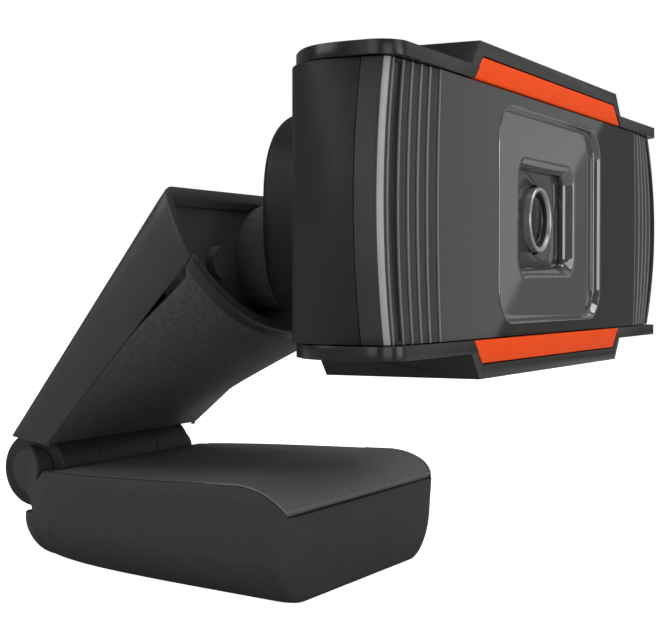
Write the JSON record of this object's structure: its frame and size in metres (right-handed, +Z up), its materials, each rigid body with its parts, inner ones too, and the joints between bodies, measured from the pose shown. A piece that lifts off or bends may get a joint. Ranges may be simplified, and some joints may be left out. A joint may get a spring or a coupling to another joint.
{
  "type": "webcam",
  "caption": "Wide webcam with a recessed square lens bezel and orange trim strips, on a ball joint above a hollow arm that folds on a hinged clip foot.",
  "frame": {"origin": "middle of the foot's flat base", "axes": "+Z up, -Y the way the lens looks, +X to the right seen from the front"},
  "size_m": [0.0798, 0.0574, 0.0534],
  "materials": {
    "gloss_black": "semi-gloss dark grey moulding",
    "black_plastic": "satin black moulding",
    "textured_black": "fine spark-eroded texture",
    "matte_black": "matt black",
    "bezel_grey": "gloss mid grey",
    "orange_plastic": "satin orange",
    "foot_plastic": "satin black moulding",
    "pad_rubber": "matt soft-touch skin",
    "soft_rubber": "matt",
    "ring_metal": "bright plated",
    "steel": "zinc plated",
    "lens_glass": "coated lens glass",
    "white_nylon": "natural nylon",
    "chip_black": "moulded epoxy",
    "board_green": "solder mask"
  },
  "bodies": {
    "foot": {"foot_housing": "foot_plastic", "foot_top_pad": "pad_rubber", "foot_base_cover": "textured_black", "foot_screw_left": "steel", "foot_screw_right": "steel", "hinge_pin": "steel"},
    "arm": {"arm_back_shell": "black_plastic", "arm_front_trough": "textured_black", "socket_cup": "matte_black", "socket_screw_left": "steel", "socket_screw_right": "steel", "friction_washer_left": "steel", "friction_washer_right": "steel"},
    "ball_seat": {"socket_liner": "white_nylon"},
    "ball": {"ball_stud": "steel"},
    "lens": {"focus_ring": "ring_metal", "lens_barrel": "matte_black", "front_lens_element": "lens_glass", "rear_lens_element": "lens_glass"},
    "head": {"front_housing": "gloss_black", "rear_housing": "black_plastic", "top_cap": "black_plastic", "bottom_cap": "black_plastic", "top_accent_strip": "orange_plastic", "bottom_accent_strip": "orange_plastic", "lens_bezel": "bezel_grey", "lens_surround": "matte_black", "lens_holder": "matte_black", "ir_filter": "lens_glass", "image_sensor": "chip_black", "main_board": "board_green", "controller_chip": "chip_black", "memory_chip": "chip_black", "crystal": "ring_metal", "cable_connector": "white_nylon", "microphone_capsule": "ring_metal", "board_screw_left": "steel", "board_screw_right": "steel", "housing_screw_left": "steel", "housing_screw_right": "steel", "cable_inlet_grommet": "soft_rubber", "ball_stud_nut": "steel"}
  },
  "joints": [
    {"name": "clip_hinge", "type": "hinge", "parent": "foot", "child": "arm", "pos_m": [0, 0.0178, 0.009], "axis": [1, 0, 0], "range_deg": [-88, 22]},
    {"name": "head_pan", "type": "hinge", "parent": "arm", "child": "ball_seat", "pos_m": [0, -0.00428, 0.03329], "axis": [0, 0.0663, 0.9978], "range_deg": [-8, 8]},
    {"name": "head_tilt", "type": "hinge", "parent": "ball_seat", "child": "ball", "pos_m": [0, -0.00428, 0.03329], "axis": [1, 0, 0], "range_deg": [-15, 0]},
    {"name": "head_twist", "type": "hinge", "parent": "ball", "child": "head", "pos_m": [0, -0.00428, 0.03329], "axis": [0, 0.9978, -0.0663], "range_deg": [-6, 6]},
    {"name": "lens_focus", "type": "hinge", "parent": "head", "child": "lens", "pos_m": [0, -0.03448, 0.0388], "axis": [0, 0.9978, -0.0663], "range_deg": [-90, 90]}
  ]
}
